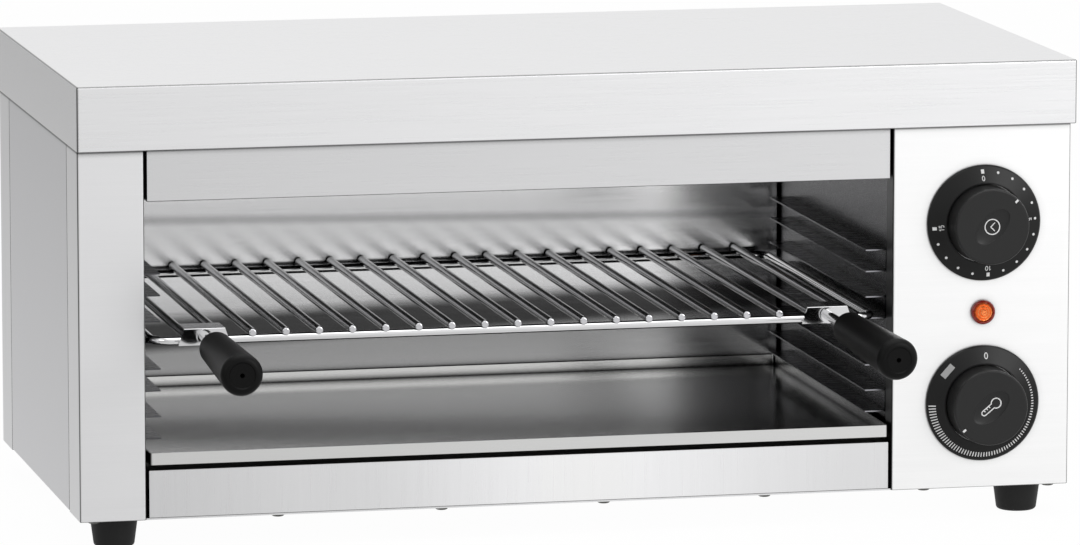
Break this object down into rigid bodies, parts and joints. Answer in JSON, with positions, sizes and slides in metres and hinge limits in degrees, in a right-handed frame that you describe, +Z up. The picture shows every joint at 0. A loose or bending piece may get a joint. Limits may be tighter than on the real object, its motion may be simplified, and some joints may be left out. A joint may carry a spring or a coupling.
{
  "type": "electric cheese melter",
  "caption": "Electric cheese melter: a low stainless steel grill open at the front, with a gripped wire rack in guides, a drip tray and a control panel with dials and a lamp.",
  "frame": {"origin": "centre of the overall box in X and Y, at the level of the feet's undersides", "axes": "+X to the viewer's right along the front, +Y to the back, +Z up"},
  "size_m": [0.6, 0.4382, 0.275],
  "materials": {
    "cover_steel": "brushed",
    "case_steel": "brushed",
    "chamber_steel": "bright",
    "chrome_wire": "polished",
    "plated_steel": "plated",
    "grip_plastic": "satin",
    "control_plastic": "matte",
    "lens_plastic": "gloss",
    "element_sheath": "oxidised",
    "ceramic": "glazed",
    "copper": "satin",
    "lead_insulation": "matte",
    "foot_rubber": "matte"
  },
  "bodies": {
    "housing": {"top_cover": "cover_steel", "left_stile": "case_steel", "control_panel": "case_steel", "left_side_panel": "case_steel", "right_side_panel": "case_steel", "back_panel": "case_steel", "base_panel": "case_steel", "fascia": "case_steel", "lower_front_rail": "case_steel", "chamber_left_wall": "chamber_steel", "chamber_right_wall": "chamber_steel", "chamber_back_wall": "chamber_steel", "chamber_floor": "chamber_steel", "heat_reflector": "chamber_steel", "element_hanger": "chamber_steel", "guide_left_1": "chamber_steel", "guide_left_2": "chamber_steel", "guide_left_3": "chamber_steel", "guide_left_4": "chamber_steel", "guide_right_1": "chamber_steel", "guide_right_2": "chamber_steel", "guide_right_3": "chamber_steel", "guide_right_4": "chamber_steel", "case_screws": "plated_steel", "foot_screws": "plated_steel", "foot_nuts": "plated_steel", "control_nuts": "plated_steel", "gland_nut": "plated_steel", "element_terminals": "plated_steel", "sensor_clip": "plated_steel", "timer_dial": "grip_plastic", "thermostat_dial": "grip_plastic", "timer_body": "control_plastic", "thermostat_body": "control_plastic", "terminal_block": "control_plastic", "cable_gland": "control_plastic", "lamp_body": "control_plastic", "lamp_lens": "lens_plastic", "heating_element_front": "element_sheath", "heating_element_rear": "element_sheath", "element_bushes": "ceramic", "thermostat_sensor": "copper", "internal_leads": "lead_insulation", "foot_front_left": "foot_rubber", "foot_front_right": "foot_rubber", "foot_rear_left": "foot_rubber", "foot_rear_right": "foot_rubber"},
    "rack": {"rack_frame": "chrome_wire", "rack_wires": "chrome_wire", "grip_bracket_left": "chrome_wire", "grip_bracket_right": "chrome_wire", "grip_stud_left": "chrome_wire", "grip_stud_right": "chrome_wire", "grip_left": "grip_plastic", "grip_right": "grip_plastic"},
    "tray": {"drip_tray": "chamber_steel"},
    "timer_knob_set": {"timer_knob": "grip_plastic", "timer_shaft": "plated_steel"},
    "thermostat_knob_set": {"thermostat_knob": "grip_plastic", "thermostat_shaft": "plated_steel"}
  },
  "joints": [
    {"name": "rack_slide", "type": "slide", "parent": "housing", "child": "rack", "axis": [0, -1, 0], "range_m": [0, 0.2]},
    {"name": "tray_slide", "type": "slide", "parent": "housing", "child": "tray", "axis": [0, -1, 0], "range_m": [0, 0.25]},
    {"name": "timer_knob_turn", "type": "hinge", "parent": "housing", "child": "timer_knob_set", "pos_m": [0.2453, -0.08968, 0.17803], "axis": [0, 1, 0], "range_deg": [-44.5, 219.5]},
    {"name": "thermostat_knob_turn", "type": "hinge", "parent": "housing", "child": "thermostat_knob_set", "pos_m": [0.2453, -0.08968, 0.06959], "axis": [0, 1, 0], "range_deg": [-231, 37]}
  ]
}
